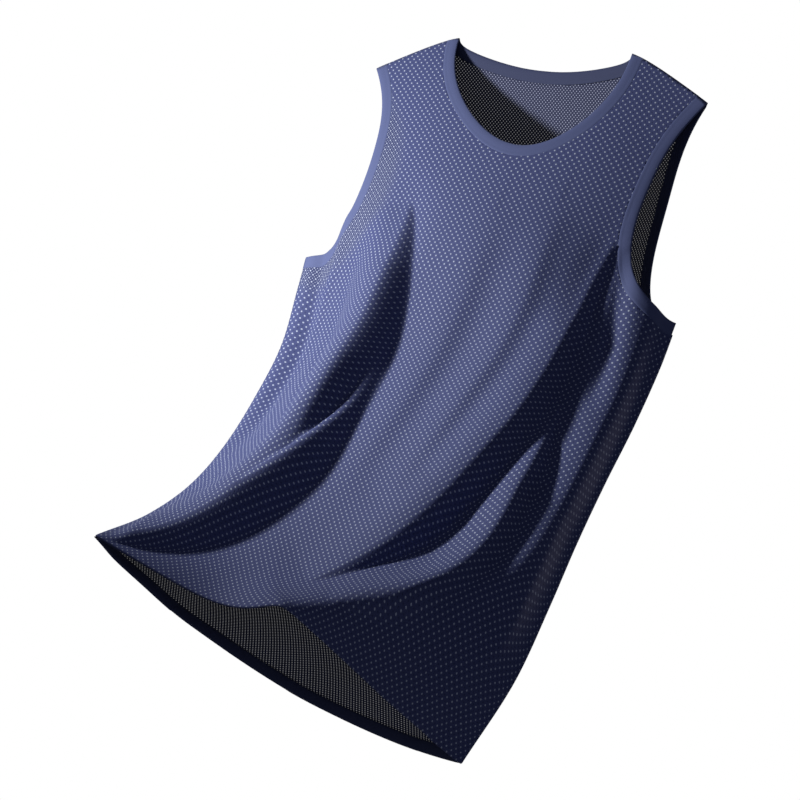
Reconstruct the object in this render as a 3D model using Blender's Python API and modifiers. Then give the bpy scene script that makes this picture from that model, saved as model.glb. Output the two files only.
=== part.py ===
"""A sleeveless mesh tank top, filled out as if worn, its lower half swung forward.

Each panel is drawn flat, like its paper pattern: "across" runs from the centre line to the
wearer's left, which is +X, and "down" runs from the neck points to the hem. One function
lays a point of that pattern on the hollow body form, and adds the folds that are pulled
through the cloth. Metres, +Z up, the front faces -Y, and the origin lies midway between
the two points where the shoulder seams meet the neck.
"""

from collections import namedtuple
from math import ceil, pi, sqrt

import bmesh
import bpy
import numpy as np
from mathutils import Vector
from mathutils.geometry import delaunay_2d_cdt

# Cloth and seams
WALL = 0.0014  # knitted mesh
BAND_WALL = 0.0020  # folded binding
HEM_WALL = 0.0010
HEM_GAP = 0.0010  # between a panel and its turned hem
SEAM_GAP = 0.0003
BAND_GAP = 0.0005  # the two walls lean towards each other where the cloth curves
LAY_OFF = WALL / 2 + SEAM_GAP  # each panel's middle surface, away from the seam between them

# Flat pattern
BODY_LENGTH = 0.730
HALF_WIDTH = 0.245
NECK_HALF = 0.096
TIP_HALF = 0.186
SHOULDER_SLOPE = 0.56
SHOULDER_ROUND = 0.030
UNDERARM_DOWN = 0.262
ARMHOLE_IN = 0.158  # half the width between the armholes at their narrowest
ARMHOLE_IN_DOWN = 0.135
ARMHOLE_TIP_PULL = (0.164, 0.078)  # the curve's handles, from the tip round to the side seam
ARMHOLE_UPPER_PULL = (ARMHOLE_IN, 0.105)
ARMHOLE_LOWER_PULL = (ARMHOLE_IN, 0.200)
ARMHOLE_SEAM_PULL = (0.184, UNDERARM_DOWN)
FRONT_NECK_DEPTH = 0.128
BACK_NECK_DEPTH = 0.030
NECK_TAPER = 0.16  # how much narrower the neckline is at its foot
NECK_LEAN = 0.011  # how far the front neckline has slipped to the left
BAND_WIDTH = 0.011
HEM_WIDTH = 0.012
HEM_SHORT = 0.004  # the turned hem stops this far from the side seams

# Mesh steps
FRONT_STEP = 0.0120
BACK_STEP = 0.0185
EDGE_STEP = 0.0110
HEM_STEP = 0.0085
ARMHOLE_UPPER_STEPS = 8
ARMHOLE_LOWER_STEPS = 15
CREST_STEPS = 60
EDGE_CLEAR = 0.55  # how far the net of a panel stays off its edge, as a share of its step
HEM_CLEAR = 0.60
PROBE = 0.001  # half the distance over which the form's directions are taken
TINY = 1e-6

# How far the cloth runs down from a shoulder seam before it stands at its full depth
SHOULDER_FALL = 0.24
SHOULDER_POWER = 2.4

SEAM_FADE = 0.12  # the folds die out over this share of a half panel, next to its side seam
SLOPE_FOOT = 0.12  # how softly a straight slope ends, as a share of its height
SLOPE_LINES = (0, 1, 0.5)  # where a slope has lines of points, as shares of its run

# The body form, a row for each level: where the two side seams run (above the armholes,
# the lines that would carry them on), and how far the front and the back stand out.
Level = namedtuple("Level", "down left_x left_y left_z right_x right_y right_z front back")
LEVELS = (
    Level(0.000, -0.243, 0.000, 0.002, 0.249, 0.000, -0.004, 0.026, 0.030),
    Level(0.120, -0.228, 0.000, -0.114, 0.250, 0.000, -0.126, 0.040, 0.054),
    Level(0.258, -0.196, 0.000, -0.248, 0.219, 0.000, -0.265, 0.062, 0.054),
    Level(0.300, -0.193, -0.002, -0.290, 0.216, -0.004, -0.310, 0.063, 0.055),
    Level(0.360, -0.187, -0.010, -0.349, 0.211, -0.016, -0.373, 0.062, 0.056),
    Level(0.430, -0.185, -0.033, -0.415, 0.207, -0.038, -0.440, 0.060, 0.056),
    Level(0.500, -0.180, -0.068, -0.476, 0.209, -0.067, -0.504, 0.054, 0.056),
    Level(0.570, -0.173, -0.115, -0.528, 0.210, -0.090, -0.569, 0.044, 0.056),
    Level(0.640, -0.170, -0.169, -0.571, 0.202, -0.100, -0.638, 0.028, 0.056),
    Level(0.730, -0.164, -0.250, -0.614, 0.164, -0.083, -0.720, 0.006, 0.072),
)

# The largest folds, a row each: the crest's path over the flat pattern, its height at the
# start, the middle and the end (below 0 for a hollow), how far it runs out above and below
# the crest, how round
# its flanks are (2 is round, 1 is sharp), and the radius that the crest itself keeps. Where
# run isn't 0, the lower flank is a straight slope that runs that far for each metre it falls.
Fold = namedtuple("Fold", "side path rise above below run round radius")
FOLDS = (
    # the tent that lifts the middle of the front hem
    Fold(
        1,
        (
            (0.212, 0.280),
            (0.220, 0.400),
            (0.214, 0.510),
            (0.190, 0.600),
            (0.145, 0.645),
            (0.085, 0.673),
            (-0.005, 0.730),
        ),
        (0.000, 0.040, 0.083),
        *(0.042, 0, 2.05, 1.26, 0.008),
    ),
    # the long fold from the chest to the right hem corner
    Fold(
        1,
        (
            (-0.088, 0.200),
            (-0.074, 0.300),
            (-0.077, 0.440),
            (-0.095, 0.537),
            (-0.133, 0.606),
            (-0.240, 0.722),
        ),
        (0.000, 0.042, 0.006),
        *(0.045, 0, 0.80, 1.6, 0.008),
    ),
    # the long fold from the left armhole
    Fold(
        1,
        ((0.152, 0.200), (0.143, 0.310), (0.127, 0.446), (0.077, 0.573), (-0.003, 0.668)),
        (0.000, 0.028, 0.000),
        *(0.042, 0, 0.72, 1.7, 0.008),
    ),
    # the shorter one below it
    Fold(
        1,
        ((0.168, 0.380), (0.168, 0.490), (0.148, 0.602), (0.095, 0.670), (0.038, 0.694)),
        (0.000, 0.024, 0.000),
        *(0.026, 0, 0.75, 1.6, 0.003),
    ),
    # the swell below the left armhole
    Fold(
        1,
        ((0.206, 0.225), (0.210, 0.300), (0.216, 0.390), (0.218, 0.500)),
        (0.010, 0.020, 0.000),
        *(0.050, 0.030, 0, 1.8, 0.004),
    ),
    # the hollow along the right side seam
    Fold(
        1,
        ((-0.210, 0.262), (-0.216, 0.350), (-0.220, 0.430), (-0.228, 0.520)),
        (-0.008, -0.015, 0.000),
        *(0.020, 0.040, 0, 2, 0.004),
    ),
    # the back: two from the shoulder blades and two that lean out to the hem's corners
    Fold(
        -1,
        ((-0.070, 0.200), (-0.080, 0.450), (-0.120, 0.700)),
        (0.002, 0.018, 0.006),
        *(0.040, 0.030, 0, 1.8, 0),
    ),
    Fold(
        -1,
        ((0.060, 0.240), (0.058, 0.465), (0.030, 0.690)),
        (0.002, 0.015, 0.004),
        *(0.030, 0.040, 0, 1.8, 0),
    ),
    Fold(
        -1,
        ((0.140, 0.230), (0.142, 0.455), (0.180, 0.680)),
        (0.002, 0.020, 0.004),
        *(0.034, 0.026, 0, 1.8, 0),
    ),
    Fold(
        -1,
        ((-0.150, 0.300), (-0.160, 0.505), (-0.210, 0.710)),
        (0.001, 0.016, 0.004),
        *(0.026, 0.030, 0, 1.8, 0),
    ),
)


def blend(knots, rows, at):
    """A smooth curve through rows of numbers, one row at each knot."""
    slopes = np.gradient(rows, knots, axis=0)
    low = np.clip(np.searchsorted(knots, at) - 1, 0, len(knots) - 2)
    span = (knots[low + 1] - knots[low])[:, None]
    t = (np.asarray(at) - knots[low])[:, None] / span
    return (
        rows[low] * (1 + 2 * t) * (1 - t) ** 2
        + rows[low + 1] * t * t * (3 - 2 * t)
        + slopes[low] * span * t * (1 - t) ** 2
        - slopes[low + 1] * span * t * t * (1 - t)
    )


def blend_table(column_names, down):
    """The named columns of LEVELS at any distance down."""
    rows = np.array([[getattr(level, name) for name in column_names] for level in LEVELS])
    return blend(np.array([level.down for level in LEVELS]), rows, down)


def unit(vectors):
    return vectors / np.linalg.norm(vectors, axis=1, keepdims=True)


def shoulder_down(across):
    """How far down the shoulder seam lies at a distance from the centre line."""
    past = np.abs(across) - NECK_HALF
    return SHOULDER_SLOPE * (past + np.hypot(past, SHOULDER_ROUND) - SHOULDER_ROUND) / 2


def smooth_step(t):
    t = np.clip(t, 0, 1)
    return t * t * (3 - 2 * t)


def distance_along(line):
    """How far each point of a line lies from its first one, along it."""
    return np.concatenate([[0], np.cumsum(np.linalg.norm(np.diff(line, axis=0), axis=1))])


def crest_of(fold):
    """Points along a fold's crest in the flat pattern, with its height at each."""
    path = np.array(fold.path)
    knots = distance_along(path)
    t = np.linspace(0, 1, CREST_STEPS + 1)
    start, middle, end = fold.rise
    rise = start * (1 - t) * (1 - 2 * t) + middle * 4 * t * (1 - t) + end * t * (2 * t - 1)
    return blend(knots, path, t * knots[-1]), rise


def from_crest(points, crest, rises):
    """From the nearest place on a crest to each point; the crest's heading and height there."""
    squares = (points[:, :1] - crest[:, 0]) ** 2 + (points[:, 1:] - crest[:, 1]) ** 2
    nearest = squares.argmin(1)
    heading = np.gradient(crest, axis=0)[nearest]
    past = ((points - crest[nearest]) * heading).sum(1) / (heading**2).sum(1)
    place = np.clip(nearest + past, 0, CREST_STEPS)
    steps = np.arange(CREST_STEPS + 1)
    foot = np.stack([np.interp(place, steps, column) for column in crest.T], 1)
    return points - foot, heading, np.interp(place, steps, rises)


def fold_relief(across, down, side):
    """How far the folds lift the cloth at each point of the flat pattern."""
    relief = np.zeros(len(across))
    points = np.stack([across, down], 1)
    for fold in FOLDS:
        if fold.side != side:
            continue
        crest, rises = crest_of(fold)
        away, heading, rise = from_crest(points, crest, rises)
        is_below = heading[:, 0] * away[:, 1] - heading[:, 1] * away[:, 0] < 0
        distance = np.hypot(np.linalg.norm(away, axis=1), fold.radius) - fold.radius
        if fold.run:
            slope = rise - distance / fold.run
            lower = (slope + np.hypot(slope, SLOPE_FOOT * rise)) / 2
        else:
            lower = rise * np.exp(-((distance / fold.below) ** fold.round))
        upper = rise * np.exp(-((distance / fold.above) ** fold.round))
        relief += np.where(is_below, lower, upper)
    return relief


def drape(across, down, side):
    """Points of the flat pattern on the body form; side is 1 in front and -1 behind."""
    left, right = "left_x left_y left_z".split(), "right_x right_y right_z".split()
    seam_left, seam_right = blend_table(left, down), blend_table(right, down)
    middle = (seam_left + seam_right) / 2
    above = (blend_table(left, down - PROBE) + blend_table(right, down - PROBE)) / 2
    below = (blend_table(left, down + PROBE) + blend_table(right, down + PROBE)) / 2
    half_chord = np.linalg.norm(seam_right - seam_left, axis=1) / 2
    chordwise = unit(seam_right - seam_left)
    forward = unit(np.cross(unit(below - above), chordwise))
    bulge = blend_table(["front" if side > 0 else "back"], down)[:, 0]
    turn = 2 * np.arctan(bulge / half_chord)
    share = across / HALF_WIDTH
    x = half_chord * np.sin(turn * share) / np.sin(turn)
    depth = half_chord * (np.cos(turn * share) - np.cos(turn)) / np.sin(turn)
    fall = np.clip((down - shoulder_down(across)) / SHOULDER_FALL, 0, 1)
    rise = 1 - (1 - fall) ** SHOULDER_POWER
    seam_fade = smooth_step((1 - np.abs(share)) / SEAM_FADE)
    relief = fold_relief(across, down, side) * seam_fade * rise
    tilt = (turn * share * rise)[:, None]
    outward = np.cos(tilt) * side * forward + np.sin(tilt) * chordwise
    point = middle + chordwise * x[:, None] + forward * (side * depth * rise)[:, None]
    return point + outward * relief[:, None]


def lay(across, down, side, out=0.0):
    """Draped points, moved off the surface by out, away from the wearer."""
    across, down = np.asarray(across, float), np.asarray(down, float)
    sideways = drape(across + PROBE, down, side) - drape(across - PROBE, down, side)
    downward = drape(across, down + PROBE, side) - drape(across, down - PROBE, side)
    return drape(across, down, side) + side * out * unit(np.cross(downward, sideways))


def bezier(start, start_pull, end_pull, end, steps):
    t = np.linspace(0, 1, steps + 1)[:, None]
    corners = [np.array(corner) for corner in (start, start_pull, end_pull, end)]
    weights = ((1 - t) ** 3, 3 * t * (1 - t) ** 2, 3 * t * t * (1 - t), t**3)
    return sum(weight * corner for weight, corner in zip(weights, corners))


def neckline(depth, lean):
    """The finished neck edge, from the right neck point to the left one."""
    turn = np.linspace(0, pi, ceil(pi * (NECK_HALF + depth) / 2 / EDGE_STEP))
    across = -NECK_HALF * np.cos(turn) * (1 - NECK_TAPER * np.sin(turn) ** 2)
    across += lean * np.sin(turn) ** 2
    return np.stack([across, shoulder_down(across) + depth * np.sin(turn)], 1)


def armhole():
    """The finished armhole edge on the left side, from the shoulder tip to the side seam."""
    tip = (TIP_HALF, float(shoulder_down(np.array([TIP_HALF]))[0]))
    narrowest = (ARMHOLE_IN, ARMHOLE_IN_DOWN)
    underarm = (HALF_WIDTH, UNDERARM_DOWN)
    upper = bezier(tip, ARMHOLE_TIP_PULL, ARMHOLE_UPPER_PULL, narrowest, ARMHOLE_UPPER_STEPS)
    lower = bezier(narrowest, ARMHOLE_LOWER_PULL, ARMHOLE_SEAM_PULL, underarm, ARMHOLE_LOWER_STEPS)
    return np.concatenate([upper, lower[1:]])


def inside_edge(edge, inset):
    """A neckline or an armhole moved into the cloth by inset."""
    along = unit(np.gradient(edge, axis=0))
    return edge + inset * np.stack([-along[:, 1], along[:, 0]], 1)


def neck_inside(depth, lean, inset):
    """The neckline moved into the cloth, with both ends kept on the shoulder seams."""
    moved = inside_edge(neckline(depth, lean), inset)
    for end in (0, -1):
        moved[end, 0] = np.sign(moved[end, 0]) * (NECK_HALF + inset)
        moved[end, 1] = shoulder_down(moved[end, :1])[0]
    return moved


def armhole_inside(inset):
    """The armhole moved into the cloth, with its ends kept on the shoulder and side seams."""
    moved = inside_edge(armhole(), inset)
    moved[0, 0] = TIP_HALF - inset
    moved[0, 1] = shoulder_down(moved[0, :1])[0]
    moved[-1] = HALF_WIDTH, UNDERARM_DOWN + inset
    return moved


def run(start, end, step):
    """Points from start to end, both left out, about one step apart."""
    start, end = np.array(start), np.array(end)
    count = max(1, ceil(np.linalg.norm(end - start) / step))
    return start + np.linspace(0, 1, count + 1)[1:-1, None] * (end - start)


def mirrored(points):
    return (points * (-1, 1))[::-1]


def hem_line(down):
    """Points level across the panel, from its right side seam to its left one."""
    across = np.linspace(-HALF_WIDTH, HALF_WIDTH, ceil(2 * HALF_WIDTH / HEM_STEP) + 1)
    return np.stack([across, np.full(len(across), down)], 1)


def panel_outline(neck, step):
    """A panel's closed outline, less its bindings, round from the neck by the left side."""
    inset = BAND_WIDTH + BAND_GAP
    neck = neck_inside(*neck, inset)
    arm = armhole_inside(inset)
    seam = run(neck[-1], arm[0], EDGE_STEP)
    seam[:, 1] = shoulder_down(seam[:, 0])
    corner = (HALF_WIDTH, BODY_LENGTH)
    side = np.concatenate([run(arm[-1], corner, step), [corner]])
    left_half = np.concatenate([seam, arm, side])
    hem = hem_line(BODY_LENGTH)[::-1]
    return np.concatenate([neck, left_half, hem[1:-1], mirrored(left_half)])


def distance_to(points, line):
    """From each point to the nearest stretch of a line."""
    stretch = np.diff(line, axis=0)
    to_point = points[:, None] - line[None, :-1]
    along = np.clip((to_point * stretch).sum(2) / (stretch**2).sum(1), 0, 1)
    return np.linalg.norm(to_point - along[:, :, None] * stretch, axis=2).min(1)


def is_inside(points, outline):
    """Whether a level line from each point crosses the outline an odd number of times."""
    ends = np.roll(outline, -1, axis=0)
    edge = ends - outline
    crosses = (outline[:, 1] > points[:, 1:]) != (ends[:, 1] > points[:, 1:])
    with np.errstate(divide="ignore", invalid="ignore"):
        at = outline[:, 0] + (points[:, 1:] - outline[:, 1]) / edge[:, 1] * edge[:, 0]
    return (crosses & (points[:, :1] < at)).sum(1) % 2 == 1


def fold_lines(side):
    """Down each straight slope: its crest, the line halfway down it, and its foot."""
    lines = []
    for fold in FOLDS:
        if fold.side == side and fold.run:
            crest, rise = crest_of(fold)
            heading = unit(np.gradient(crest, axis=0))
            downhill = np.stack([heading[:, 1], -heading[:, 0]], 1)
            lines += [crest + share * fold.run * rise[:, None] * downhill for share in SLOPE_LINES]
    return lines


def clear_points(points, outline, lines, step):
    """The points that lie inside the outline, above the hem, and clear of each line."""
    clear = is_inside(points, outline) & (points[:, 1] < BODY_LENGTH - HEM_WIDTH - HEM_CLEAR * step)
    for line in lines:
        clear &= distance_to(points, line) > EDGE_CLEAR * step
    return points[clear]


def spaced(line, step):
    """Points a step apart along a line."""
    length = distance_along(line)
    at = np.arange(0, length[-1], step)
    return np.stack([np.interp(at, length, column) for column in line.T], 1)


def inside_lines(outline, side, step):
    """The outline, then the lines of points that follow the folds, clear of each other."""
    lines = [np.concatenate([outline, outline[:1]])]
    for line in fold_lines(side):
        points = clear_points(spaced(line, step), outline, lines, step)
        if len(points) > 1:
            lines.append(points)
    return lines


def net_points(outline, lines, step):
    """A staggered net of points between the lines."""
    rows = np.arange(0, BODY_LENGTH, step * sqrt(3) / 2)
    columns = np.arange(-HALF_WIDTH, HALF_WIDTH, step)
    net = np.array([(x + (i % 2) * step / 2, y) for i, y in enumerate(rows) for x in columns])
    return clear_points(net, outline, lines, step)


def add_object(name, points, faces, wall, material):
    """A named surface with its wall made by Solidify, half to each side."""
    mesh = bpy.data.meshes.new(name)
    mesh.from_pydata([Vector(p) for p in points], [], faces)
    bm = bmesh.new()
    bm.from_mesh(mesh)
    bmesh.ops.delete(bm, geom=[v for v in bm.verts if not v.link_faces], context="VERTS")
    bmesh.ops.recalc_face_normals(bm, faces=bm.faces)
    for edge in bm.edges:
        edge.smooth = not edge.is_boundary
    bm.to_mesh(mesh)
    bm.free()
    mesh.shade_smooth()
    mesh.materials.append(material)
    obj = bpy.data.objects.new(name, mesh)
    solidify = obj.modifiers.new("Wall", "SOLIDIFY")
    solidify.thickness = wall
    solidify.offset = 0
    bpy.data.collections["tank_top"].objects.link(obj)
    return obj


def cut_panel(neck, side, step):
    """A panel's flat points and triangles, with creases along its folds and its turned hem."""
    outline = panel_outline(neck, step)
    lines = inside_lines(outline, side, step)
    creases = [hem_line(BODY_LENGTH - HEM_WIDTH)[1:-1], *lines[1:]]
    points = [Vector(p) for p in outline]
    edges = []
    for crease in creases:
        edges += [(len(points) + i, len(points) + i + 1) for i in range(len(crease) - 1)]
        points += [Vector(p) for p in crease]
    points += [Vector(p) for p in net_points(outline, lines, step)]
    loop = list(range(len(outline)))
    corners, _, faces, *_ = delaunay_2d_cdt(points, edges, [loop], 1, TINY)
    return np.array([tuple(corner) for corner in corners]), faces


def add_panel(name, side, neck, step, cloth, hem_cloth):
    """A panel, and its turned hem: a strip that lies inside, on the panel's own points."""
    flat, faces = cut_panel(neck, side, step)
    across, down = flat.T
    add_object(f"{name}_panel", lay(across, down, side, LAY_OFF), faces, WALL, cloth)
    in_hem = (down > BODY_LENGTH - HEM_WIDTH - TINY) & (np.abs(across) < HALF_WIDTH - HEM_SHORT)
    strip = [face for face in faces if all(in_hem[corner] for corner in face)]
    inward = LAY_OFF - (WALL + HEM_WALL) / 2 - HEM_GAP
    add_object(f"{name}_hem_turning", lay(across, down, side, inward), strip, HEM_WALL, hem_cloth)


def band_points(side, edge, inner):
    """Half of a binding: for each point of its edge, one there, one midway and one at its foot."""
    lines = [edge, (edge + inner) / 2, inner]
    return np.stack([lay(line[:, 0], line[:, 1], side) for line in lines], 1)


def add_binding(name, front, back, material):
    """A closed ribbon, its front half and its back half joined at their ends."""
    ring = np.concatenate([band_points(1, *front), band_points(-1, *back)[::-1][1:-1]])
    count, width = ring.shape[:2]
    faces = []
    for i in range(count):
        here, there = i * width, (i + 1) % count * width
        for j in range(width - 1):
            faces.append((here + j, there + j, there + j + 1, here + j + 1))
    add_object(name, ring.reshape(-1, 3), faces, BAND_WALL, material)


def make_material(name, colour, roughness):
    material = bpy.data.materials.new(name)
    material.use_nodes = True
    shader = material.node_tree.nodes["Principled BSDF"]
    shader.inputs["Base Color"].default_value = (*colour, 1)
    shader.inputs["Roughness"].default_value = roughness
    return material


def main():
    for obj in list(bpy.data.objects):
        bpy.data.objects.remove(obj)
    bpy.context.scene.collection.children.link(bpy.data.collections.new("tank_top"))
    mesh_cloth = make_material("navy_mesh", (0.045, 0.058, 0.125), 0.75)
    band_cloth = make_material("navy_binding", (0.016, 0.020, 0.048), 0.80)
    front_neck, back_neck = (FRONT_NECK_DEPTH, NECK_LEAN), (BACK_NECK_DEPTH, 0)
    add_panel("front", 1, front_neck, FRONT_STEP, mesh_cloth, band_cloth)
    add_panel("back", -1, back_neck, BACK_STEP, mesh_cloth, band_cloth)
    front_band, back_band = (
        (neckline(*neck), neck_inside(*neck, BAND_WIDTH)) for neck in (front_neck, back_neck)
    )
    add_binding("neck_binding", front_band, back_band, band_cloth)
    left_arm = (armhole(), armhole_inside(BAND_WIDTH))
    right_arm = tuple(line * (-1, 1) for line in left_arm)
    add_binding("left_armhole_binding", left_arm, left_arm, band_cloth)
    add_binding("right_armhole_binding", right_arm, right_arm, band_cloth)


main()
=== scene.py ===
"""The looks of the mesh tank top: its knit, bindings, turned hems and seams.

Each panel is drawn flat, like its paper pattern: "across" runs from the centre line to the
wearer's left, and "down" runs from the neck points to the hem, in metres. One function lays
points of that pattern on the hollow body form, and adds the folds and creases. The flat
place of each point is also its texture place, so the knit keeps its true size everywhere.
"""

from collections import namedtuple
from math import ceil, pi, sqrt

import bpy
import numpy as np
from mathutils import Matrix, Vector
from mathutils.geometry import delaunay_2d_cdt


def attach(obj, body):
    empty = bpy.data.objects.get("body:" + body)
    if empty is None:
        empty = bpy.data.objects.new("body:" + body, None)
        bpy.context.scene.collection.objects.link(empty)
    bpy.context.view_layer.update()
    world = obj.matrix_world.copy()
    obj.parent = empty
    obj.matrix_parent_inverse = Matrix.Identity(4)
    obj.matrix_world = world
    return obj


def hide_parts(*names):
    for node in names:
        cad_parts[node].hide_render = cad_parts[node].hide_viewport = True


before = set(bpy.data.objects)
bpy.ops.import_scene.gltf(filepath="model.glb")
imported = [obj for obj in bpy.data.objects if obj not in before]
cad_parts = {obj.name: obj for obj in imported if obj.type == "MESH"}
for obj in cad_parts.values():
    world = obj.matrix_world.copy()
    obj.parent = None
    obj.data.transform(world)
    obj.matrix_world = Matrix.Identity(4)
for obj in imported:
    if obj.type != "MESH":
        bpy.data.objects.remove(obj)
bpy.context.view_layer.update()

FRONT, BACK = 1, -1  # the garment's two sides

# Cloth and seams, as on the solids
WALL = 0.0014
SEAM_GAP = 0.0003
LAY_OFF = WALL / 2 + SEAM_GAP  # from the seams' surface to the middle of the cloth
CLOTH = 0.0011  # thickness of the knit
TURNED = 0.0009  # thickness of the turned hem
BAND_HALF = 0.0010  # half the thickness of a folded binding

# Flat pattern, as on the solids; each half width is taken from the centre line
BODY_LENGTH = 0.730
HALF_WIDTH = 0.245
NECK_HALF = 0.096
TIP_HALF = 0.186
SHOULDER_SLOPE = 0.56
SHOULDER_ROUND = 0.030
UNDERARM_DOWN = 0.262
BAND_WIDTH = 0.011
HEM_WIDTH = 0.012

# A neck's depth, and how far its lowest point leans to the wearer's left
Neck = namedtuple("Neck", "depth lean")
FRONT_NECK = Neck(0.128, 0.011)
BACK_NECK = Neck(0.030, 0)
NECK_TAPER = 0.16

# An armhole: where it is narrowest, and the pulls and steps of its upper and lower curve
ARMHOLE_IN = 0.158
ARMHOLE_IN_DOWN = 0.135
ARMHOLE_TIP_PULL = (0.164, 0.078)
ARMHOLE_UPPER_PULL = (ARMHOLE_IN, 0.105)
ARMHOLE_LOWER_PULL = (ARMHOLE_IN, 0.200)
ARMHOLE_SEAM_PULL = (0.184, UNDERARM_DOWN)
ARMHOLE_UPPER_STEPS = 26
ARMHOLE_LOWER_STEPS = 50

# The net of points on a panel, and along its edges
CLOTH_STEP = 0.0034
EDGE_STEP = 0.0034
EDGE_CLEAR = 0.6  # of a step, between the net and the edge
SAME_PLACE = 1e-6  # points closer than this are one
INSIDE_ONLY = 1  # triangles outside the outline are left out

# The drape
CREST_STEPS = 60  # along a fold's crest
PROBE = 0.001  # a short way along the surface, to find its directions
SHOULDER_FALL = 0.24  # from the shoulder seam down to the form's full depth
SHOULDER_POWER = 2.4
SEAM_FADE = 0.12  # of the half width, over which the folds fade out at the side seams
SLOPE_FOOT = 0.12  # how rounded the foot of a straight slope is

# The turned hem: rows of points, its least gap from the panel, and how it bows off it
HEM_ROWS = 7
HEM_LEAST_GAP = 0.0001
HEM_BOW = 0.0009
HEM_BOW_ROUND = 0.7

# Seams: points along them, how far above the hem the side seams end, a short way in from the
# seam line, and the knit from point to point round their section
SIDE_SEAM_POINTS = 150
SHOULDER_SEAM_POINTS = 24
SEAM_END_UP = 0.001
SEAM_STEP_IN = 0.003
SEAM_KNIT_STEP = 0.001

# The body form, a row for each level: where the two side seams run, and how far the front
# and the back stand out.
Level = namedtuple("Level", "down left_x left_y left_z right_x right_y right_z front back")
LEVELS = (
    Level(0.000, -0.243, 0.000, 0.002, 0.249, 0.000, -0.004, 0.026, 0.030),
    Level(0.120, -0.228, 0.000, -0.114, 0.250, 0.000, -0.126, 0.040, 0.054),
    Level(0.258, -0.196, 0.000, -0.248, 0.219, 0.000, -0.265, 0.062, 0.054),
    Level(0.300, -0.193, -0.002, -0.290, 0.216, -0.004, -0.310, 0.063, 0.055),
    Level(0.360, -0.187, -0.010, -0.349, 0.211, -0.016, -0.373, 0.062, 0.056),
    Level(0.430, -0.185, -0.033, -0.415, 0.207, -0.038, -0.440, 0.060, 0.056),
    Level(0.500, -0.180, -0.068, -0.476, 0.209, -0.067, -0.504, 0.054, 0.056),
    Level(0.570, -0.173, -0.115, -0.528, 0.210, -0.090, -0.569, 0.044, 0.056),
    Level(0.640, -0.170, -0.169, -0.571, 0.202, -0.100, -0.638, 0.028, 0.056),
    Level(0.730, -0.164, -0.250, -0.614, 0.164, -0.083, -0.720, 0.006, 0.072),
)

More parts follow.
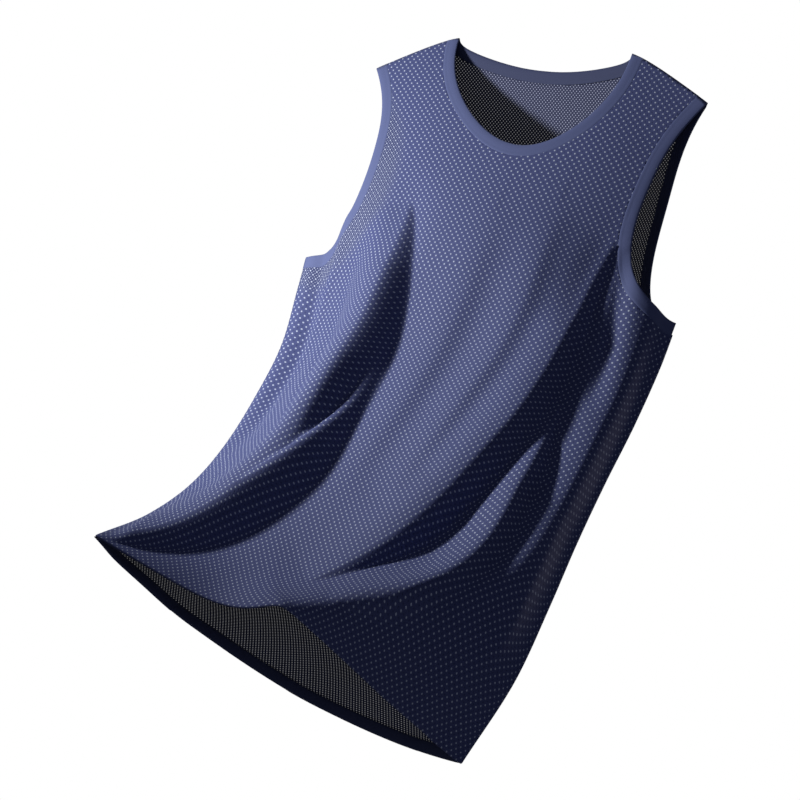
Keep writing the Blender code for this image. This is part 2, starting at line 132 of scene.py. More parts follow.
# The folds, a row each: the crest's path over the flat pattern, its height at the start, the
# middle and the end, and its flanks. Those run out above and below the crest, or fall below
# it in a straight slope, with that run for each metre of fall; round says how full they are,
# and radius rounds the crest itself.
Flanks = namedtuple("Flanks", "above below run round radius")
Fold = namedtuple("Fold", "path rise flanks")
FRONT_FOLDS = (
    # the tent that lifts the middle of the front hem
    Fold(
        (
            (0.212, 0.280),
            (0.220, 0.400),
            (0.214, 0.510),
            (0.190, 0.600),
            (0.145, 0.645),
            (0.085, 0.673),
            (-0.005, 0.730),
        ),
        (0.000, 0.040, 0.083),
        Flanks(0.042, 0, 2.05, 1.26, 0.008),
    ),
    # the long fold from the chest to the right hem corner
    Fold(
        (
            (-0.088, 0.200),
            (-0.074, 0.300),
            (-0.077, 0.440),
            (-0.095, 0.537),
            (-0.133, 0.606),
            (-0.240, 0.722),
        ),
        (0.000, 0.042, 0.006),
        Flanks(0.045, 0, 0.80, 1.6, 0.008),
    ),
    # the long fold from the left armhole
    Fold(
        ((0.152, 0.200), (0.143, 0.310), (0.127, 0.446), (0.077, 0.573), (-0.003, 0.668)),
        (0.000, 0.028, 0.000),
        Flanks(0.042, 0, 0.72, 1.7, 0.008),
    ),
    # the shorter one below it
    Fold(
        ((0.168, 0.380), (0.168, 0.490), (0.148, 0.602), (0.095, 0.670), (0.038, 0.694)),
        (0.000, 0.024, 0.000),
        Flanks(0.026, 0, 0.75, 1.6, 0.003),
    ),
    # the swell below the left armhole
    Fold(
        ((0.206, 0.225), (0.210, 0.300), (0.216, 0.390), (0.218, 0.500)),
        (0.010, 0.020, 0.000),
        Flanks(0.050, 0.030, 0, 1.8, 0.004),
    ),
    # the hollow along the right side seam
    Fold(
        ((-0.210, 0.262), (-0.216, 0.350), (-0.220, 0.430), (-0.228, 0.520)),
        (-0.008, -0.015, 0.000),
        Flanks(0.020, 0.040, 0, 2, 0.004),
    ),
    # a narrow ridge on the right flank, and the hollow beside it
    Fold(
        ((-0.174, 0.225), (-0.184, 0.300), (-0.192, 0.383), (-0.190, 0.497)),
        (0.002, 0.006, 0.000),
        Flanks(0.010, 0.010, 0, 1.8, 0.002),
    ),
    Fold(
        ((-0.138, 0.230), (-0.146, 0.330), (-0.142, 0.430), (-0.140, 0.540)),
        (-0.001, -0.008, 0.000),
        Flanks(0.018, 0.020, 0, 1.8, 0.002),
    ),
    # a crease across the long fold's slope
    Fold(
        ((-0.048, 0.400), (-0.062, 0.474), (-0.089, 0.538), (-0.133, 0.602)),
        (0.000, -0.010, 0.000),
        Flanks(0.014, 0.004, 0, 1.6, 0.001),
    ),
    # two soft swells down the middle of the front
    Fold(
        ((0.020, 0.215), (0.018, 0.310), (0.005, 0.420), (-0.030, 0.560)),
        (0.001, 0.005, 0.000),
        Flanks(0.034, 0.019, 0, 1.8, 0.002),
    ),
    Fold(
        ((0.083, 0.190), (0.086, 0.300), (0.066, 0.430), (0.030, 0.560)),
        (0.001, 0.008, 0.000),
        Flanks(0.032, 0.016, 0, 1.8, 0.002),
    ),
    # a groove on the left flank
    Fold(
        ((0.172, 0.215), (0.184, 0.278), (0.190, 0.320), (0.198, 0.390)),
        (-0.003, -0.006, 0.000),
        Flanks(0.008, 0.009, 0, 1.8, 0.002),
    ),
    # shallow dips where the two long folds begin
    Fold(
        ((-0.090, 0.195), (-0.085, 0.235), (-0.077, 0.285)),
        (-0.002, -0.004, 0.000),
        Flanks(0.022, 0.022, 0, 1.8, 0.004),
    ),
    Fold(
        ((0.152, 0.200), (0.148, 0.250), (0.143, 0.310)),
        (-0.002, -0.008, 0.000),
        Flanks(0.024, 0.020, 0, 1.8, 0.004),
    ),
    # a crease beside the left seam, down to the hem
    Fold(
        ((0.236, 0.470), (0.231, 0.560), (0.221, 0.650), (0.206, 0.725)),
        (-0.003, -0.008, -0.003),
        Flanks(0.009, 0.010, 0, 1.6, 0.001),
    ),
)
BACK_FOLDS = (
    # two from the shoulder blades
    Fold(
        ((-0.070, 0.200), (-0.080, 0.450), (-0.120, 0.700)),
        (0.002, 0.018, 0.006),
        Flanks(0.040, 0.030, 0, 1.8, 0),
    ),
    Fold(
        ((0.060, 0.240), (0.058, 0.465), (0.030, 0.690)),
        (0.002, 0.015, 0.004),
        Flanks(0.030, 0.040, 0, 1.8, 0),
    ),
    # two that lean out to the hem's corners
    Fold(
        ((0.140, 0.230), (0.142, 0.455), (0.180, 0.680)),
        (0.002, 0.020, 0.004),
        Flanks(0.034, 0.026, 0, 1.8, 0),
    ),
    Fold(
        ((-0.150, 0.300), (-0.160, 0.505), (-0.210, 0.710)),
        (0.001, 0.016, 0.004),
        Flanks(0.026, 0.030, 0, 1.8, 0),
    ),
)

# A binding's section, in shares of its width in from its folded edge, and in half
# thicknesses outwards: the layer over the cloth with its stitched foot, the fold, the layer
# behind the cloth, and the slot for the cloth between them.
SectionPoint = namedtuple("SectionPoint", "inset out")
BAND_SECTION = (
    SectionPoint(0.92, 1.50),
    SectionPoint(1.20, 1.46),
    SectionPoint(1.18, 1.62),
    SectionPoint(1.08, 1.74),
    SectionPoint(0.92, 1.78),
    SectionPoint(0.84, 1.70),
    SectionPoint(0.76, 1.78),
    SectionPoint(0.45, 1.72),
    SectionPoint(0.14, 1.50),
    SectionPoint(0.03, 1.08),
    SectionPoint(0.00, 0.50),
    SectionPoint(0.04, -0.20),
    SectionPoint(0.20, -0.66),
    SectionPoint(0.50, -0.80),
    SectionPoint(0.78, -0.78),
    SectionPoint(0.85, -0.66),
    SectionPoint(0.92, -0.76),
    SectionPoint(1.06, -0.70),
    SectionPoint(1.11, -0.50),
    SectionPoint(1.10, -0.30),
    SectionPoint(0.88, -0.30),
)
FOLD_ROW = 10  # the section's row on the folded edge

# A seam's section: how far in from the seam line, and half its thickness there. It fills the
# groove between two panels, and its allowance stands inside.
SeamPoint = namedtuple("SeamPoint", "inward half")
SEAM_SECTION = (
    SeamPoint(-0.0006, 0.00035),
    SeamPoint(-0.0003, 0.00045),
    SeamPoint(0.0003, 0.00022),
    SeamPoint(0.0020, 0.00050),
    SeamPoint(0.0050, 0.00075),
    SeamPoint(0.0062, 0.00040),
)

# The knit's dots: their pitch across and down, and the radius and soft edge of each kind
PITCH = (0.0071, 0.0074)
FINE_PITCH = (PITCH[0] / 2, PITCH[1] / 2)
Dot = namedtuple("Dot", "radius soft")
PALE_DOT = Dot(0.00080, 0.00030)
SUNK_LOOP = Dot(0.00070, 0.00045)
FINE_HOLE = Dot(0.00047, 0.00024)
# how strongly the sunk loops darken: painted shade
SUNK_SHADE = 0.55
SUNK_DEPTH = 0.8  # of a dot's height

# Round the right underarm the knit is stretched, and its fine net is painted pale: painted light
# shining through its holes. Its place on the flat pattern, how far from there it ends and is at
# its fullest, and how much it shows
STRETCHED_PLACE = (-HALF_WIDTH, 0.170, 0)
STRETCHED_END = 0.138
STRETCHED_FULL = 0.114
STRETCHED_MOST = 0.9
STRETCHED_SHADE = 0.6

# The yarn's uneven grain, in grains for each metre, and the ribs of the bindings
KNIT_GRAIN = 1400
BAND_GRAIN = 1800
GRAIN_NOISE = {"Scale": 1.0, "Detail": 3.0, "Roughness": 0.6}
GRAIN_DARK, GRAIN_PALE = 0.3, 0.7  # the noise's values that count as darkest and palest
GRAIN_HEIGHT = 0.35  # of a dot's height
RIB_PITCH = 0.0011
RIB_SHARE = 0.4  # of the bindings' pattern; the grain is the rest

# How high a material's relief stands in metres, and how strongly it shades
Relief = namedtuple("Relief", "height strength")
KNIT_RELIEF = Relief(0.0003, 0.5)
BAND_RELIEF = Relief(0.0002, 0.4)

# Colours: a ground runs between the two shades of its yarn
OUTSIDE_GROUND = ((0.055, 0.069, 0.184), (0.077, 0.094, 0.232))
# painted shade in the sunk loops, and the darker ground of the stretched net
OUTSIDE_LOOP_SHADE_AND_NET_GROUND = (0.024, 0.031, 0.094)
# the pale dots' own colour, also painted on the stretched net's holes as light shining through
OUTSIDE_PALE_AND_HOLE_LIGHT = (0.50, 0.55, 0.68)
INSIDE_GROUND = ((0.020, 0.025, 0.070), (0.034, 0.041, 0.104))
# the holes' pale colour and glow on the inside: painted light, in place of light let through them
INSIDE_PAINTED_PALE_HOLE = (0.34, 0.38, 0.58)
PAINTED_GLOW_COLOUR = (1.0, 0.99, 0.95)
PAINTED_GLOW_STRENGTH = 0.18
BAND_GROUND = ((0.084, 0.104, 0.228), (0.118, 0.143, 0.298))
# painted shade: a darker copy of the binding colours, for the bindings' insides and the turned
# hems
PAINTED_SHADE_GROUND = ((0.040, 0.049, 0.112), (0.058, 0.070, 0.148))

# Finishes
MATTE_YARN = {
    "Roughness": 0.75,
    "Specular IOR Level": 0.25,
    "Sheen Weight": 0.05,
    "Sheen Roughness": 0.5,
}
INSIDE_YARN = {"Roughness": 0.85}

# Camera: 30 degrees to the wearer's left, 12 degrees below the garment, rolled by 16 degrees
CAMERA_TURN, CAMERA_RISE, CAMERA_ROLL = np.radians([30, -12, 16])
CAMERA_DISTANCE = 2.45
VIEW_WIDTH = 0.800  # metres of the origin's plane that the frame spans
AIM_RIGHT, AIM_UP = -0.142, -0.355  # from the origin to the frame's middle
SENSOR = 36.0

# Soft spot lamps, a row each. A place and an aim are taken from the frame's middle, along
# the camera's right, its up and towards it.
WHITE = (1, 1, 1)
ROSE = (1, 0.88, 0.88)
Lamp = namedtuple("Lamp", "name place aim watts radius degrees colour")
LAMPS = (
    Lamp("key", (-0.64, 0.37, 0.23), (0.17, 0.11, 0), 31, 0.048, 94, WHITE),
    Lamp("rim", (0.84, -0.40, -0.36), (0.14, -0.10, 0), 3, 0.250, 90, ROSE),
    Lamp("back_light", (0.14, 0.42, -1.33), (0, 0, 0), 20, 0.150, 90, WHITE),
)
BEAM_FADE = 1  # from the beam's middle all the way to its edge
FILL_COLOUR = (0.70, 0.75, 1.0)
FILL_STRENGTH = 0.09

# The floor
FLOOR_DOWN = 1.45
FLOOR_HALF = 4
FLOOR_COLOUR = (0.85, 0.85, 0.86)
FLOOR_ROUGHNESS = 0.9


def unit(vectors):
    return vectors / np.linalg.norm(vectors, axis=1, keepdims=True)


def smooth_step(t):
    t = np.clip(t, 0, 1)
    return t * t * (3 - 2 * t)


def blend(knots, rows, at):
    """A smooth curve through rows of numbers, one row at each knot."""
    slopes = np.gradient(rows, knots, axis=0)
    low = np.clip(np.searchsorted(knots, at) - 1, 0, len(knots) - 2)
    span = (knots[low + 1] - knots[low])[:, None]
    t = (at - knots[low])[:, None] / span
    return (
        rows[low] * (1 + 2 * t) * (1 - t) ** 2
        + rows[low + 1] * t * t * (3 - 2 * t)
        + slopes[low] * span * t * (1 - t) ** 2
        - slopes[low + 1] * span * t * t * (1 - t)
    )


def bezier(start, start_pull, end_pull, end, steps):
    t = np.linspace(0, 1, steps + 1)[:, None]
    corners = [np.array(corner) for corner in (start, start_pull, end_pull, end)]
    weights = ((1 - t) ** 3, 3 * t * (1 - t) ** 2, 3 * t * t * (1 - t), t**3)
    return sum(weight * corner for weight, corner in zip(weights, corners))


def distance_along(line):
    """How far each point of a line lies from its first one, along it."""
    return np.concatenate([[0], np.cumsum(np.linalg.norm(np.diff(line, axis=0), axis=1))])


def blend_levels(column_names, down):
    """The named columns of LEVELS at any distance down."""
    rows = np.array([[getattr(level, name) for name in column_names] for level in LEVELS])
    return blend(np.array([level.down for level in LEVELS]), rows, down)


def side_seams(down):
    """Where the form's left and right side seams lie at each distance down."""
    left = blend_levels(("left_x", "left_y", "left_z"), down)
    right = blend_levels(("right_x", "right_y", "right_z"), down)
    return left, right


def middle_line(down):
    """The middle between the side seams at each distance down."""
    left, right = side_seams(down)
    return (left + right) / 2


def shoulder_down(across):
    """How far down the shoulder seam lies at a distance from the centre line."""
    past = np.abs(across) - NECK_HALF
    return SHOULDER_SLOPE * (past + np.hypot(past, SHOULDER_ROUND) - SHOULDER_ROUND) / 2


def crest_of(fold):
    """Points along a fold's crest in the flat pattern, with its height at each."""
    path = np.array(fold.path)
    knots = distance_along(path)
    t = np.linspace(0, 1, CREST_STEPS + 1)
    start, middle, end = fold.rise
    rise = start * (1 - t) * (1 - 2 * t) + middle * 4 * t * (1 - t) + end * t * (2 * t - 1)
    return blend(knots, path, t * knots[-1]), rise


def from_crest(points, crest, rises):
    """From the nearest place on a crest to each point; the crest's heading and height there."""
    squares = (points[:, :1] - crest[:, 0]) ** 2 + (points[:, 1:] - crest[:, 1]) ** 2
    nearest = squares.argmin(1)
    heading = np.gradient(crest, axis=0)[nearest]
    past = ((points - crest[nearest]) * heading).sum(1) / (heading**2).sum(1)
    place = np.clip(nearest + past, 0, CREST_STEPS)
    steps = np.arange(CREST_STEPS + 1)
    foot = np.stack([np.interp(place, steps, column) for column in crest.T], 1)
    return points - foot, heading, np.interp(place, steps, rises)


def fold_relief(across, down, side):
    """How far the folds lift the cloth at each point of the flat pattern."""
    relief = np.zeros(len(across))
    points = np.stack([across, down], 1)
    folds = FRONT_FOLDS if side == FRONT else BACK_FOLDS
    for fold in folds:
        flanks = fold.flanks
        crest, rises = crest_of(fold)
        away, heading, rise = from_crest(points, crest, rises)
        is_below = heading[:, 0] * away[:, 1] - heading[:, 1] * away[:, 0] < 0
        distance = np.hypot(np.linalg.norm(away, axis=1), flanks.radius) - flanks.radius
        if flanks.run:
            slope = rise - distance / flanks.run
            lower = (slope + np.hypot(slope, SLOPE_FOOT * rise)) / 2
        else:
            lower = rise * np.exp(-((distance / flanks.below) ** flanks.round))
        upper = rise * np.exp(-((distance / flanks.above) ** flanks.round))
        relief += np.where(is_below, lower, upper)
    return relief


def drape(across, down, side):
    """Points of the flat pattern on the body form, with the folds of that side."""
    left, right = side_seams(down)
    half_chord = np.linalg.norm(right - left, axis=1) / 2
    chordwise = unit(right - left)
    downward = unit(middle_line(down + PROBE) - middle_line(down - PROBE))
    forward = unit(np.cross(downward, chordwise))
    bulge = blend_levels(("front" if side == FRONT else "back",), down)[:, 0]
    turn = 2 * np.arctan(bulge / half_chord)
    share = across / HALF_WIDTH
    x = half_chord * np.sin(turn * share) / np.sin(turn)
    depth = half_chord * (np.cos(turn * share) - np.cos(turn)) / np.sin(turn)
    fall = np.clip((down - shoulder_down(across)) / SHOULDER_FALL, 0, 1)
    rise = 1 - (1 - fall) ** SHOULDER_POWER
    seam_fade = smooth_step((1 - np.abs(share)) / SEAM_FADE)
    relief = fold_relief(across, down, side) * seam_fade * rise
    tilt = (turn * share * rise)[:, None]
    outward = np.cos(tilt) * side * forward + np.sin(tilt) * chordwise
    point = (left + right) / 2 + chordwise * x[:, None] + forward * (side * depth * rise)[:, None]
    return point + outward * relief[:, None]


def lay(flat, side, out=0.0):
    """Draped points of the flat pattern, moved off the surface by out, away from the wearer."""
    across, down = flat[:, 0], flat[:, 1]
    sideways = drape(across + PROBE, down, side) - drape(across - PROBE, down, side)
    downward = drape(across, down + PROBE, side) - drape(across, down - PROBE, side)
    outward = side * unit(np.cross(downward, sideways))
    return drape(across, down, side) + np.reshape(out, (-1, 1)) * outward


def neckline(neck):
    """The finished neck edge, from the right neck point to the left one."""
    turn = np.linspace(0, pi, ceil(pi * (NECK_HALF + neck.depth) / 2 / EDGE_STEP))
    across = -NECK_HALF * np.cos(turn) * (1 - NECK_TAPER * np.sin(turn) ** 2)
    across += neck.lean * np.sin(turn) ** 2
    return np.stack([across, shoulder_down(across) + neck.depth * np.sin(turn)], 1)


def armhole():
    """The finished armhole edge on the left side, from the shoulder tip to the side seam."""
    tip = (TIP_HALF, shoulder_down(TIP_HALF))
    narrowest = (ARMHOLE_IN, ARMHOLE_IN_DOWN)
    underarm = (HALF_WIDTH, UNDERARM_DOWN)
    upper = bezier(tip, ARMHOLE_TIP_PULL, ARMHOLE_UPPER_PULL, narrowest, ARMHOLE_UPPER_STEPS)
    pulls = (ARMHOLE_LOWER_PULL, ARMHOLE_SEAM_PULL)
    lower = bezier(narrowest, *pulls, underarm, ARMHOLE_LOWER_STEPS)
    return np.concatenate([upper, lower[1:]])


def inside_edge(edge):
    """A neckline or an armhole, moved into the cloth by the width of its binding."""
    along = unit(np.gradient(edge, axis=0))
    return edge + BAND_WIDTH * np.stack([-along[:, 1], along[:, 0]], 1)


def neck_inside(neck):
    """The inside edge of a neck's binding, with both ends kept on the shoulder seams."""
    moved = inside_edge(neckline(neck))
    for end in (0, -1):
        moved[end, 0] = np.sign(moved[end, 0]) * (NECK_HALF + BAND_WIDTH)
        moved[end, 1] = shoulder_down(moved[end, 0])
    return moved


def armhole_inside():
    """The inside edge of an armhole's binding, with its ends kept on the shoulder and side
    seams."""
    moved = inside_edge(armhole())
    moved[0, 0] = TIP_HALF - BAND_WIDTH
    moved[0, 1] = shoulder_down(moved[0, 0])
    moved[-1] = HALF_WIDTH, UNDERARM_DOWN + BAND_WIDTH
    return moved


def points_between(start, end):
    """Points from start to end, both left out, about one step apart."""
    start, end = np.array(start), np.array(end)
    count = max(1, ceil(np.linalg.norm(end - start) / EDGE_STEP))
    return start + np.linspace(0, 1, count + 1)[1:-1, None] * (end - start)


def mirrored(line):
    """A line on the other half of the pattern, run the other way."""
    return (line * (-1, 1))[::-1]


def level_line(down):
    """Points level across the panel, from its right side seam to its left one."""
    across = np.linspace(-HALF_WIDTH, HALF_WIDTH, ceil(2 * HALF_WIDTH / EDGE_STEP) + 1)
    return np.stack([across, np.full(len(across), down)], 1)


def panel_outline(neck):
    """A panel's closed outline, less its bindings, round from the neck by the left side."""
    neck_edge = neck_inside(neck)
    arm = armhole_inside()
    shoulder = points_between(neck_edge[-1], arm[0])
    shoulder[:, 1] = shoulder_down(shoulder[:, 0])
    corner = (HALF_WIDTH, BODY_LENGTH)
    left_half = np.concatenate([shoulder, arm, points_between(arm[-1], corner), [corner]])
    hem = level_line(BODY_LENGTH)[::-1]
    return np.concatenate([neck_edge, left_half, hem[1:-1], mirrored(left_half)])


def is_inside(points, outline):
    """Whether a level line from each point crosses the outline an odd number of times."""
    ends = np.roll(outline, -1, axis=0)
    edge = ends - outline
    crosses = (outline[:, 1] > points[:, 1:]) != (ends[:, 1] > points[:, 1:])
    with np.errstate(divide="ignore", invalid="ignore"):
        at = outline[:, 0] + (points[:, 1:] - outline[:, 1]) / edge[:, 1] * edge[:, 0]
    return (crosses & (points[:, :1] < at)).sum(1) % 2 == 1


def flat_area(outline):
    """The area that a closed outline holds."""
    ends = np.roll(outline, -1, axis=0)
    return abs((outline[:, 0] * ends[:, 1] - outline[:, 1] * ends[:, 0]).sum()) / 2


def net_points(outline):
    """A staggered net of points inside the outline, clear of it."""
    rows = np.arange(0, BODY_LENGTH, CLOTH_STEP * sqrt(3) / 2)
    columns = np.arange(-HALF_WIDTH, HALF_WIDTH, CLOTH_STEP)
    shifts = (0, CLOTH_STEP / 2)
    net = np.array([(x + shifts[i % 2], y) for i, y in enumerate(rows) for x in columns])
    near = np.full(len(net), np.inf)
    for point in outline:
        near = np.minimum(near, np.hypot(*(net - point).T))
    return net[is_inside(net, outline) & (near > EDGE_CLEAR * CLOTH_STEP)]


def cut_cloth(outline):
    """The flat points and triangles of a piece of cloth."""
    points = [Vector(point) for point in np.concatenate([outline, net_points(outline)])]
    loop = list(range(len(outline)))
    corners, _, faces, *_ = delaunay_2d_cdt(points, [], [loop], INSIDE_ONLY, SAME_PLACE)
    return np.array([tuple(corner) for corner in corners]), faces


def outward_faces(faces, side):
    """Faces turned so that they look away from the wearer."""
    return [tuple(reversed(face)) if side == FRONT else tuple(face) for face in faces]


def strip_faces(count, width):
    """Quads between count rows with width points each."""
    faces = []
    for i in range(count - 1):
        for j in range(width - 1):
            start = i * width + j
            faces.append((start, start + width, start + width + 1, start + 1))
    return faces


def tube_faces(count, width, is_ring):
    """Quads round a tube of count sections with width points each, closed end to end if a
    ring and capped if not."""
    faces = []
    for i in range(count if is_ring else count - 1):
        here, there = i * width, (i + 1) % count * width
        for j in range(width):
            k = (j + 1) % width
            faces.append((here + j, here + k, there + k, there + j))
    if not is_ring:
        faces.append(tuple(range(width - 1, -1, -1)))
        faces.append(tuple(range((count - 1) * width, count * width)))
    return faces


def add_piece(name, points, faces, materials, flat):
    """A smooth named mesh that rides on the garment; flat gives its texture places."""
    mesh = bpy.data.meshes.new(name)
    mesh.from_pydata([Vector(point) for point in points], [], faces)
    corners = np.empty(len(mesh.loops), int)
    mesh.loops.foreach_get("vertex_index", corners)
    mesh.uv_layers.new(name="flat").data.foreach_set("uv", flat[corners].ravel())
    mesh.shade_smooth()
    for material in materials:
        mesh.materials.append(material)
    obj = bpy.data.objects.new(name, mesh)
    bpy.context.scene.collection.objects.link(obj)
    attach(obj, "root")
    return obj


def add_wall(obj, thickness):
    """Gives a surface its thickness, half to each side."""
    wall = obj.modifiers.new("Wall", "SOLIDIFY")
    wall.thickness = thickness
    wall.offset = 0
    return wall


def add_panel(name, side, neck, outside, inside):
    """A panel: a thin shell whose two faces each have their own knit. Gives its flat area
    too."""
    outline = panel_outline(neck)
    flat, faces = cut_cloth(outline)
    points = lay(flat, side, LAY_OFF)
    obj = add_piece(f"{name}_mesh", points, outward_faces(faces, side), (outside, inside), flat)
    add_wall(obj, CLOTH).material_offset = 1
    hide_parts(f"{name}_panel")
    return obj, flat_area(outline)


def add_turned_hem(name, side, material):
    """The hem's turned-up strip, which bows a little off the panel between fold and
    stitching."""
    line = level_line(BODY_LENGTH - HEM_WIDTH)[1:-1]
    shares = np.linspace(0, 1, HEM_ROWS)
    flat = np.concatenate([line + (0, HEM_WIDTH * share) for share in shares])
    bow = HEM_BOW * np.sin(pi * np.repeat(shares, len(line))) ** HEM_BOW_ROUND
    inward = LAY_OFF - (CLOTH + TURNED) / 2 - HEM_LEAST_GAP - bow
    faces = outward_faces(strip_faces(HEM_ROWS, len(line)), -side)
    obj = add_piece(f"{name}_turned_hem", lay(flat, side, inward), faces, (material,), flat)
    add_wall(obj, TURNED)
    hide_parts(f"{name}_hem_turning")
    return obj


def band_half(side, edge, inside):
    """The sections of half a binding, made on one panel's side."""
    rows = []
    for point in BAND_SECTION:
        rows.append(lay(edge + (inside - edge) * point.inset, side, BAND_HALF * point.out))
    return np.stack(rows, 1)


def add_binding(name, node, front, back, outer, shaded_inside):
    """A folded strip round an edge, its front half and its back half joined at their ends,
    with one material outside the fold, and inside it a darker copy that is painted shade."""
    ring = np.concatenate([band_half(FRONT, *front), band_half(BACK, *back)[::-1][1:-1]])
    count, width = ring.shape[:2]
    around = distance_along(ring[:, FOLD_ROW])
    section = distance_along(np.array(BAND_SECTION) * (BAND_WIDTH, BAND_HALF))
    flat = np.stack([np.repeat(around, width), np.tile(section, count)], 1)
    faces = tube_faces(count, width, True)
    obj = add_piece(name, ring.reshape(-1, 3), faces, (outer, shaded_inside), flat)
    is_inner = np.tile(np.arange(width) > FOLD_ROW, count)
    obj.data.polygons.foreach_set("material_index", is_inner.astype(np.int32))
    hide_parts(node)


def add_seam(name, line, step_in, material):
    """A closed seam along a line of the flat pattern, standing between the two panels."""
    on_seam = lay(line, FRONT)
    front, back = lay(line + step_in, FRONT), lay(line + step_in, BACK)
    inward = unit((front + back) / 2 - on_seam)
    apart = unit(front - back)
    rows = []
    for point in SEAM_SECTION:
        rows.append(on_seam + inward * point.inward + apart * point.half)
    for point in reversed(SEAM_SECTION):
        rows.append(on_seam + inward * point.inward - apart * point.half)
    count, width = len(line), len(rows)
    section = np.arange(width) * SEAM_KNIT_STEP
    flat = np.stack([np.repeat(distance_along(on_seam), width), np.tile(section, count)], 1)
    points = np.stack(rows, 1).reshape(-1, 3)
    obj = add_piece(name, points, tube_faces(count, width, False), (material,), flat)


def new_material(name):
    """A new material, with its node tree and its shader."""
    material = bpy.data.materials.new(name)
    material.use_nodes = True
    return material, material.node_tree, material.node_tree.nodes["Principled BSDF"]


def set_inputs(node, values):
    for name, value in values.items():
        node.inputs[name].default_value = value


def wire(tree, kind, values, **settings):
    """A node of a material, with its inputs given in order as links or plain values."""
    node = tree.nodes.new(kind)
    for name, value in settings.items():
        setattr(node, name, value)
    for socket, value in zip(node.inputs, values):
        if isinstance(value, bpy.types.NodeSocket):
            tree.links.new(value, socket)
        else:
            socket.default_value = value
    return node


def calc(tree, operation, *values):
    return wire(tree, "ShaderNodeMath", values, operation=operation).outputs[0]


def calc_vector(tree, operation, *values, output="Vector"):
    return wire(tree, "ShaderNodeVectorMath", values, operation=operation).outputs[output]


def fade(tree, value, none_at, full_at, full=1):
    """0 where value is none_at or past it, and full where it is full_at or past that."""
    limits = (value, none_at, full_at, 0, full)
    return wire(tree, "ShaderNodeMapRange", limits, interpolation_type="SMOOTHSTEP").outputs[0]


def mixed(tree, share, first, second):
    """A colour between two, by share."""
    mix = wire(tree, "ShaderNodeMix", (), data_type="RGBA")
    tree.links.new(share, mix.inputs["Factor"])
    for name, colour in (("A", first), ("B", second)):
        socket = [i for i in mix.inputs if i.name == name and i.type == "RGBA"][0]
        if isinstance(colour, bpy.types.NodeSocket):
            tree.links.new(colour, socket)
        else:
            socket.default_value = (*colour, 1)
    return [o for o in mix.outputs if o.type == "RGBA"][0]


def flat_place(tree):
    """The place on the flat pattern, which is the texture place."""
    return wire(tree, "ShaderNodeUVMap", (), uv_map="flat").outputs[0]


def spots(tree, place, pitch, shift, dot):
    """1 on the points of a lattice and 0 between them."""
    across, down = pitch[0] / 2, pitch[1] / 2
    moved = calc_vector(tree, "ADD", place, (*shift, 0))
    wrapped = calc_vector(tree, "WRAP", moved, (across, down, 1), (-across, -down, -1))
    away = calc_vector(tree, "LENGTH", wrapped, output="Value")
    return fade(tree, away, dot.radius + dot.soft, dot.radius - dot.soft)


def staggered(tree, place, pitch, dot, across=0):
    """Dots in staggered rows, all moved by across: two lattices, half a pitch apart."""
    first = spots(tree, place, pitch, (across, 0), dot)
    second = spots(tree, place, pitch, (across + pitch[0] / 2, pitch[1] / 2), dot)
    return calc(tree, "MAXIMUM", first, second)


def fine_grain(tree, place, scale):
    """Uneven yarn, as a share."""
    spread = calc_vector(tree, "MULTIPLY", place, (scale, scale, scale))
    noise = wire(tree, "ShaderNodeTexNoise", (spread,))
    set_inputs(noise, GRAIN_NOISE)
    limits = (noise.outputs[0], GRAIN_DARK, GRAIN_PALE, 0, 1)
    return wire(tree, "ShaderNodeMapRange", limits).outputs[0]


def bump(tree, shader, height, relief):
    node = tree.nodes.new("ShaderNodeBump")
    set_inputs(node, {"Strength": relief.strength, "Distance": relief.height})
    tree.links.new(height, node.inputs["Height"])
    tree.links.new(node.outputs[0], shader.inputs["Normal"])


def knit_bump(tree, shader, height, grain):
    """The relief of the knit, with its yarn's grain added to its height."""
    grain_height = calc(tree, "MULTIPLY", grain, GRAIN_HEIGHT)
    bump(tree, shader, calc(tree, "ADD", height, grain_height), KNIT_RELIEF)


def outside_material():
    """Navy knit with staggered pale dots, and a small sunk loop midway between them, darkened
    with painted shade. Round the right underarm it is stretched, and its fine net is painted pale
    as light that shines through its holes."""
    material, tree, shader = new_material("knit_outside")
    place = flat_place(tree)
    dots = staggered(tree, place, PITCH, PALE_DOT)
    sunk = staggered(tree, place, PITCH, SUNK_LOOP, across=PITCH[0] / 2)
    holes = staggered(tree, place, FINE_PITCH, FINE_HOLE)
    away = calc_vector(tree, "DISTANCE", place, STRETCHED_PLACE, output="Value")
    stretched = fade(tree, away, STRETCHED_END, STRETCHED_FULL, STRETCHED_MOST)
    # painted light: the stretched net's holes shine pale
    pale = calc(tree, "MAXIMUM", dots, calc(tree, "MULTIPLY", stretched, holes))
    grain = fine_grain(tree, place, KNIT_GRAIN)
    # painted shade in the sunk loops
    sunk_shade = calc(tree, "MULTIPLY", sunk, SUNK_SHADE)
    shade = calc(tree, "MAXIMUM", sunk_shade, calc(tree, "MULTIPLY", stretched, STRETCHED_SHADE))
    ground = mixed(tree, shade, mixed(tree, grain, *OUTSIDE_GROUND), OUTSIDE_LOOP_SHADE_AND_NET_GROUND)
    tree.links.new(mixed(tree, pale, ground, OUTSIDE_PALE_AND_HOLE_LIGHT), shader.inputs["Base Color"])
    height = calc(tree, "SUBTRACT", pale, calc(tree, "MULTIPLY", sunk, SUNK_DEPTH))
    knit_bump(tree, shader, height, grain)
    set_inputs(shader, MATTE_YARN)
    return material


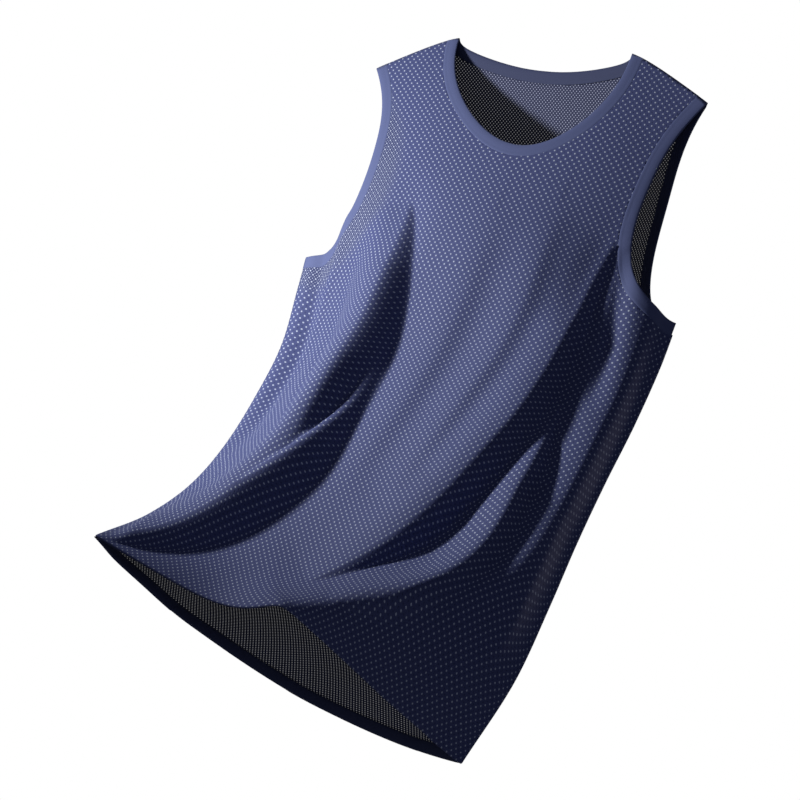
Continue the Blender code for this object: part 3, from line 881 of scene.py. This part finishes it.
def inside_material():
    """The knit's dark inside. Each small hole is painted pale and glows a little: painted light,
    in place of light let through the holes.
    """
    material, tree, shader = new_material("knit_inside")
    place = flat_place(tree)
    holes = staggered(tree, place, FINE_PITCH, FINE_HOLE)
    grain = fine_grain(tree, place, KNIT_GRAIN)
    ground = mixed(tree, grain, *INSIDE_GROUND)
    tree.links.new(mixed(tree, holes, ground, INSIDE_PAINTED_PALE_HOLE), shader.inputs["Base Color"])
    # painted light: the holes glow faintly
    shader.inputs["Emission Color"].default_value = (*PAINTED_GLOW_COLOUR, 1)
    tree.links.new(calc(tree, "MULTIPLY", holes, PAINTED_GLOW_STRENGTH), shader.inputs["Emission Strength"])
    knit_bump(tree, shader, holes, grain)
    set_inputs(shader, INSIDE_YARN)
    return material


def band_material(name, ground):
    """Plain fine knit, its ribs running across the strip."""
    material, tree, shader = new_material(name)
    place = flat_place(tree)
    along = wire(tree, "ShaderNodeSeparateXYZ", (place,)).outputs[0]
    wave = calc(tree, "SINE", calc(tree, "MULTIPLY", along, 2 * pi / RIB_PITCH))
    ribs = calc(tree, "MULTIPLY_ADD", wave, 0.5, 0.5)
    grain = calc(tree, "MULTIPLY", fine_grain(tree, place, BAND_GRAIN), 1 - RIB_SHARE)
    share = calc(tree, "MULTIPLY_ADD", ribs, RIB_SHARE, grain)
    tree.links.new(mixed(tree, share, *ground), shader.inputs["Base Color"])
    bump(tree, shader, share, BAND_RELIEF)
    set_inputs(shader, MATTE_YARN)
    return material


outside_knit, inside_knit = outside_material(), inside_material()
band_knit = band_material("binding_knit", BAND_GROUND)
# a darker copy of the binding knit: painted shade on the bindings' insides and the turned hems
painted_shade_knit = band_material("binding_knit_painted_shade", PAINTED_SHADE_GROUND)

front_panel, front_area = add_panel("front", FRONT, FRONT_NECK, outside_knit, inside_knit)
back_panel, back_area = add_panel("back", BACK, BACK_NECK, outside_knit, inside_knit)
front_hem = add_turned_hem("front", FRONT, painted_shade_knit)
back_hem = add_turned_hem("back", BACK, painted_shade_knit)

# Each binding lies between a finished edge and its inside edge, in front and behind
front_neck = (neckline(FRONT_NECK), neck_inside(FRONT_NECK))
back_neck = (neckline(BACK_NECK), neck_inside(BACK_NECK))
left_arm = (armhole(), armhole_inside())
right_arm = tuple(line * (-1, 1) for line in left_arm)
for name, node, front, back in (
    ("neck_band", "neck_binding", front_neck, back_neck),
    ("left_arm_band", "left_armhole_binding", left_arm, left_arm),
    ("right_arm_band", "right_armhole_binding", right_arm, right_arm),
):
    add_binding(name, node, front, back, band_knit, painted_shade_knit)

side_down = np.linspace(
    UNDERARM_DOWN + BAND_WIDTH, BODY_LENGTH - SEAM_END_UP, SIDE_SEAM_POINTS
)
side_line = np.stack([np.full(len(side_down), HALF_WIDTH), side_down], 1)
tip_across = np.linspace(NECK_HALF + BAND_WIDTH, TIP_HALF - BAND_WIDTH, SHOULDER_SEAM_POINTS)
shoulder_line = np.stack([tip_across, shoulder_down(tip_across)], 1)
for seam_name, line, step_in in (
    ("side_seam", side_line, (-SEAM_STEP_IN, 0)),
    ("shoulder_seam", shoulder_line, (0, SEAM_STEP_IN)),
):
    for hand, mirror in (("left", (1, 1)), ("right", (-1, 1))):
        add_seam(f"{hand}_{seam_name}", line * mirror, np.multiply(step_in, mirror), band_knit)

# The camera's own directions
toward_camera = np.array(
    [
        np.sin(CAMERA_TURN) * np.cos(CAMERA_RISE),
        -np.cos(CAMERA_TURN) * np.cos(CAMERA_RISE),
        np.sin(CAMERA_RISE),
    ]
)
level_right = np.array([np.cos(CAMERA_TURN), np.sin(CAMERA_TURN), 0])
level_up = np.cross(toward_camera, level_right)
camera_right = np.cos(CAMERA_ROLL) * level_right + np.sin(CAMERA_ROLL) * level_up
camera_up = np.cos(CAMERA_ROLL) * level_up - np.sin(CAMERA_ROLL) * level_right


def framed(right, up, back):
    """A place given from the frame's middle, along the camera's right, its up and towards it."""
    right, up = AIM_RIGHT + right, AIM_UP + up
    return Vector(right * camera_right + up * camera_up + back * toward_camera)


def add_camera():
    camera_data = bpy.data.cameras.new("camera")
    camera_data.sensor_width = SENSOR
    camera_data.lens = SENSOR * CAMERA_DISTANCE / VIEW_WIDTH
    camera = bpy.data.objects.new("camera", camera_data)
    place = np.array(framed(0, 0, CAMERA_DISTANCE))
    axes = np.stack([camera_right, camera_up, toward_camera, place], 1)
    camera.matrix_world = Matrix([*axes.tolist(), (0, 0, 0, 1)])
    bpy.context.scene.collection.objects.link(camera)
    bpy.context.scene.camera = camera


def add_lamp(lamp):
    light = bpy.data.lights.new(lamp.name, "SPOT")
    light.energy = lamp.watts
    light.color = lamp.colour
    light.shadow_soft_size = lamp.radius
    light.spot_size = np.radians(lamp.degrees)
    light.spot_blend = BEAM_FADE
    obj = bpy.data.objects.new(lamp.name, light)
    obj.location = framed(*lamp.place)
    obj.rotation_mode = "QUATERNION"
    away = framed(*lamp.place) - framed(*lamp.aim)
    obj.rotation_quaternion = away.to_track_quat("Z", "Y")
    bpy.context.scene.collection.objects.link(obj)


def add_world():
    """A white backdrop for the camera alone, and a weak blue fill that lights the garment."""
    world = bpy.data.worlds.new("studio")
    world.use_nodes = True
    bpy.context.scene.world = world
    nodes, links = world.node_tree.nodes, world.node_tree.links
    backdrop = nodes["Background"]
    set_inputs(backdrop, {"Color": (*WHITE, 1)})
    fill = nodes.new("ShaderNodeBackground")
    set_inputs(fill, {"Color": (*FILL_COLOUR, 1), "Strength": FILL_STRENGTH})
    seen = nodes.new("ShaderNodeLightPath")
    mix = nodes.new("ShaderNodeMixShader")
    links.new(seen.outputs["Is Camera Ray"], mix.inputs["Fac"])
    links.new(fill.outputs[0], mix.inputs[1])
    links.new(backdrop.outputs[0], mix.inputs[2])
    links.new(mix.outputs[0], nodes["World Output"].inputs["Surface"])


def add_floor():
    mesh = bpy.data.meshes.new("floor")
    ends = (-FLOOR_HALF, FLOOR_HALF)
    corners = [(x, y, -FLOOR_DOWN) for y in ends for x in ends]
    mesh.from_pydata(corners, [], [(0, 1, 3, 2)])
    material, _, shader = new_material("pale_floor")
    set_inputs(shader, {"Base Color": (*FLOOR_COLOUR, 1), "Roughness": FLOOR_ROUGHNESS})
    mesh.materials.append(material)
    floor = bpy.data.objects.new("floor", mesh)
    bpy.context.scene.collection.objects.link(floor)


add_camera()
for lamp in LAMPS:
    add_lamp(lamp)
add_world()
add_floor()
bpy.context.scene.view_settings.view_transform = "Standard"
